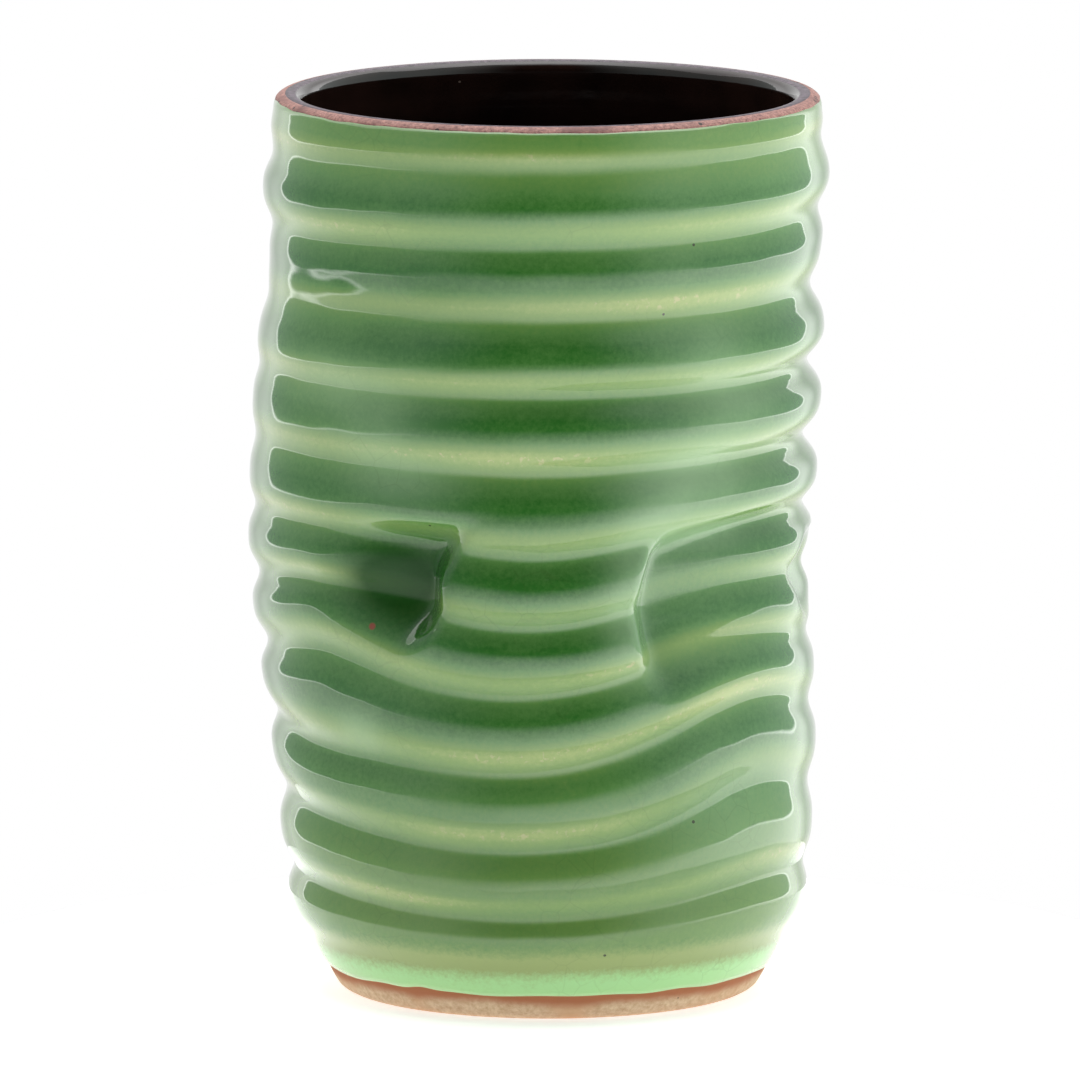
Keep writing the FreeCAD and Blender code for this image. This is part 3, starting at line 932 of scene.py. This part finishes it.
def dark_glaze_material():
    """Near-black brown lining, glossy inside and drier on the flat of the lip, where a purple-grey
    sheen is painted.
    """
    material, nodes, shader = new_material("dark_glaze_look")
    place = object_place(nodes)
    cloud = nodes.noise(LINING_CLOUD, place)
    colour = nodes.ramp(cloud, LINING_STOPS)
    height = nodes.add("ShaderNodeSeparateXYZ", {"Vector": place}).outputs["Z"]
    on_lip = nodes.rise(height, *((HEIGHT - below) * MM for below in LIP_TURNS_DRY))
    # Painted purple-grey sheen on the flat of the lip
    lip = nodes.ramp(nodes.noise(LIP_GRAIN, place), LIP_SHEEN_STOPS)
    colour = nodes.mix(on_lip, colour, lip)
    colour = nodes.mix(specks(nodes, place, LINING_SPECKS), colour, LINING_SPECK_COLOUR)
    nodes.set(shader.inputs["Base Color"], colour)
    nodes.set(shader.inputs["Roughness"], nodes.blend(on_lip, LINING_ROUGHNESS, LIP_ROUGHNESS))
    nodes.set(shader.inputs["Specular IOR Level"], nodes.blend(on_lip, LINING_SPECULAR, LIP_SPECULAR))
    peel = nodes.noise(LINING_PEEL, place)
    nodes.set(shader.inputs["Normal"], nodes.relief(peel, *LINING_RELIEF))
    return material


def iron_material():
    """Dry iron-rich band: pinkish brown, grainy, with dark specks."""
    material, nodes, shader = new_material("iron_band_look")
    place = object_place(nodes)
    grain = nodes.noise(BAND_GRAIN, place)
    cloud = nodes.noise(BAND_PATCHES, place)
    colour = nodes.ramp(grain, BAND_STOPS)
    colour = nodes.mix(nodes.rise(cloud, *BAND_BROWNS), colour, BAND_BROWN)
    colour = nodes.mix(specks(nodes, place, BAND_SPECKS), colour, BAND_SPECK_COLOUR)
    nodes.set(shader.inputs["Base Color"], colour)
    nodes.set(shader.inputs["Normal"], nodes.relief(grain, *BAND_RELIEF))
    shader.inputs["Roughness"].default_value = BAND_ROUGHNESS
    return material


# ---------------------------------------------------------------- studio

# Brightness of the tent's wall, ceiling and low back wall, how much brighter all of it is
# to the right, and the colour of the room seen at the sides of the opening
TENT_LIGHT = 1.9
CEILING_LIGHT = 4.2
BACK_LIGHT = 0.95
RIGHTWARD = 0.3
SIDE_ROOM = (0.66, 0.74, 0.72, 1.0)

# The opening of the tent, in degrees: half its turn about the front, its bottom edge,
# and its top edge, which comes down from the front to the sides
OPENING_HALF_TURN = 138.0
OPENING_BOTTOM = -9.0
OPENING_TOP_FRONT = 80.0
OPENING_TOP_LEFT = 36.0
OPENING_TOP_RIGHT = 50.0
OPENING_CORNER = 18.0
OPENING_SOFT_FRONT = 16.0
OPENING_SOFT_SIDE = 0.8

# Turns from the front over which the top edge comes down, the edge gets sharp and the
# room gets light, and the bright trim along the edge, in degrees from it
TOP_COMES_DOWN = (60.0, 95.0)
EDGE_SHARPENS = (35.0, 85.0)
ROOM_LIGHTENS = (12.0, 62.0)
TRIM_LIGHT = 2.4
TRIM_FADES = (0.2, 1.2)

# Sideways part of a direction over which the left top edge turns into the right one
LEFT_TO_RIGHT = (-0.4, 0.4)

# Heights in degrees over which the tent's wall turns into its ceiling and the dim back wall
# ends, and the turns over which the back wall starts
CEILING_RISES = (40.0, 80.0)
BACK_TOP_FADES = (20.0, 50.0)
BACK_STARTS = (140.0, 155.0)


def opening_edge(nodes, x, up, side):
    """Degrees past the edge of the tent's opening, below 0 inside it."""
    side_top = nodes.blend(nodes.rise(x, *LEFT_TO_RIGHT), OPENING_TOP_LEFT, OPENING_TOP_RIGHT)
    top = nodes.blend(nodes.rise(side, *TOP_COMES_DOWN), OPENING_TOP_FRONT, side_top)
    above = nodes.math("SUBTRACT", up, top)
    below = nodes.math("SUBTRACT", OPENING_BOTTOM, up)
    across = nodes.math("SUBTRACT", side, OPENING_HALF_TURN)
    distance = nodes.math("SMOOTH_MAX", above, across, OPENING_CORNER)
    return nodes.math("SMOOTH_MAX", distance, below, OPENING_CORNER)


def tent_light(nodes, rightward, up, side, trim):
    """Brightness of the tent: brightest overhead, dim low at the back, with a bright trim."""
    light = nodes.blend(nodes.rise(up, *CEILING_RISES), TENT_LIGHT, CEILING_LIGHT)
    light = nodes.math("MULTIPLY", light, rightward)
    behind = nodes.math("MULTIPLY", nodes.rise(side, *BACK_STARTS), nodes.fall(up, *BACK_TOP_FADES))
    light = nodes.blend(behind, light, BACK_LIGHT)
    return nodes.math("MULTIPLY_ADD", trim, TRIM_LIGHT, light)


def background(nodes, colour, strength):
    """An even glow of one colour."""
    return nodes.add("ShaderNodeBackground", {"Color": colour, "Strength": strength})


def choose(nodes, share, first, second):
    """One glow or the other, by share."""
    mixed = nodes.add("ShaderNodeMixShader", {0: share})
    nodes.tree.links.new(first.outputs[0], mixed.inputs[1])
    nodes.tree.links.new(second.outputs[0], mixed.inputs[2])
    return mixed


def make_world():
    """A white light tent, open towards the camera and the sides, where the darker room shows."""
    world = bpy.data.worlds.new("light_tent")
    bpy.context.scene.world = world
    world.use_nodes = True
    nodes = Nodes(world.node_tree)
    direction = nodes.add("ShaderNodeTexCoord").outputs["Generated"]
    x, y, z = nodes.add("ShaderNodeSeparateXYZ", {"Vector": direction}).outputs
    up = nodes.math("MULTIPLY", nodes.math("ARCSINE", z), 180.0 / math.pi)
    turn = nodes.math("ARCTAN2", x, nodes.math("MULTIPLY", y, -1.0))
    side = nodes.math("MULTIPLY", nodes.math("ABSOLUTE", turn), 180.0 / math.pi)
    rightward = nodes.math("MULTIPLY_ADD", x, RIGHTWARD, 1.0)

    distance = opening_edge(nodes, x, up, side)
    to_side = nodes.rise(side, *EDGE_SHARPENS)
    softness = nodes.blend(to_side, OPENING_SOFT_FRONT, OPENING_SOFT_SIDE)
    outside = nodes.rise(distance, nodes.math("MULTIPLY", softness, -1.0), softness)
    trim = nodes.fall(nodes.math("ABSOLUTE", distance), *TRIM_FADES)
    trim = nodes.math("MULTIPLY", trim, to_side)

    room = nodes.mix(nodes.rise(side, *ROOM_LIGHTENS), BLACK, SIDE_ROOM)
    seen_room = background(nodes, room, rightward)
    seen_tent = background(nodes, WHITE, tent_light(nodes, rightward, up, side, trim))
    studio = choose(nodes, outside, seen_room, seen_tent)
    to_camera = nodes.add("ShaderNodeLightPath").outputs["Is Camera Ray"]
    shown = choose(nodes, to_camera, studio, background(nodes, WHITE, 1.0))
    output = nodes.add("ShaderNodeOutputWorld")
    nodes.tree.links.new(shown.outputs[0], output.inputs["Surface"])


def make_table():
    """The round white table the pot stands on, which glows a little."""
    top = [ring_plain(r, 0.0) for r in (*TABLE_RINGS, TABLE_RADIUS)]
    under = [ring_plain(r, -TABLE_THICKNESS) for r in (TABLE_RADIUS, TABLE_RINGS[0])]
    piece = loft("table_top", (top + under)[::-1])
    material, nodes, shader = new_material("white_table_look")
    place = object_place(nodes)
    nodes.set(shader.inputs["Base Color"], nodes.ramp(nodes.noise(TABLE_CLOUD, place), TABLE_WHITES))
    shader.inputs["Roughness"].default_value = TABLE_ROUGHNESS
    shader.inputs["Emission Color"].default_value = WHITE
    shader.inputs["Emission Strength"].default_value = TABLE_GLOW
    piece.data.materials.append(material)


def ring_plain(radius, z):
    """One closed round row of points that doesn't lean."""
    azimuth = np.radians(columns(FLAT_COLUMNS))
    level = np.full(FLAT_COLUMNS, z)
    return np.stack([radius * np.sin(azimuth), -radius * np.cos(azimuth), level], axis=1)


def make_camera():
    """A long lens looking slightly down at the middle of the pot."""
    camera = bpy.data.cameras.new("camera")
    camera.lens = CAMERA_LENS
    camera.sensor_width = CAMERA_SENSOR
    camera.clip_end = CAMERA_REACH * MM
    holder = bpy.data.objects.new("camera", camera)
    bpy.context.scene.collection.objects.link(holder)
    target = Vector(CAMERA_TARGET) * MM
    rise = CAMERA_HEIGHT - CAMERA_TARGET[2]
    away = math.sqrt(CAMERA_DISTANCE ** 2 - rise ** 2)
    place = Vector((0.0, -away, CAMERA_HEIGHT)) * MM
    holder.location = place
    holder.rotation_euler = (target - place).to_track_quat("-Z", "Y").to_euler()
    bpy.context.scene.camera = holder


def finish_piece(piece, node, material):
    """Gives a piece its look, puts it on the root body, and hides the CAD node it stands for."""
    piece.data.materials.append(material)
    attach(piece, "root")
    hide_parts(node)


def main():
    """Builds the four pieces, then the studio round them."""
    finish_piece(make_glaze(), "celadon_glaze", green_glaze_material())
    finish_piece(make_body(), "stoneware_body", clay_material())
    finish_piece(make_lining(), "interior_glaze", dark_glaze_material())
    finish_piece(make_band(), "rim_iron_band", iron_material())
    make_world()
    make_table()
    make_camera()
    bpy.context.scene.view_settings.view_transform = "Standard"


main()
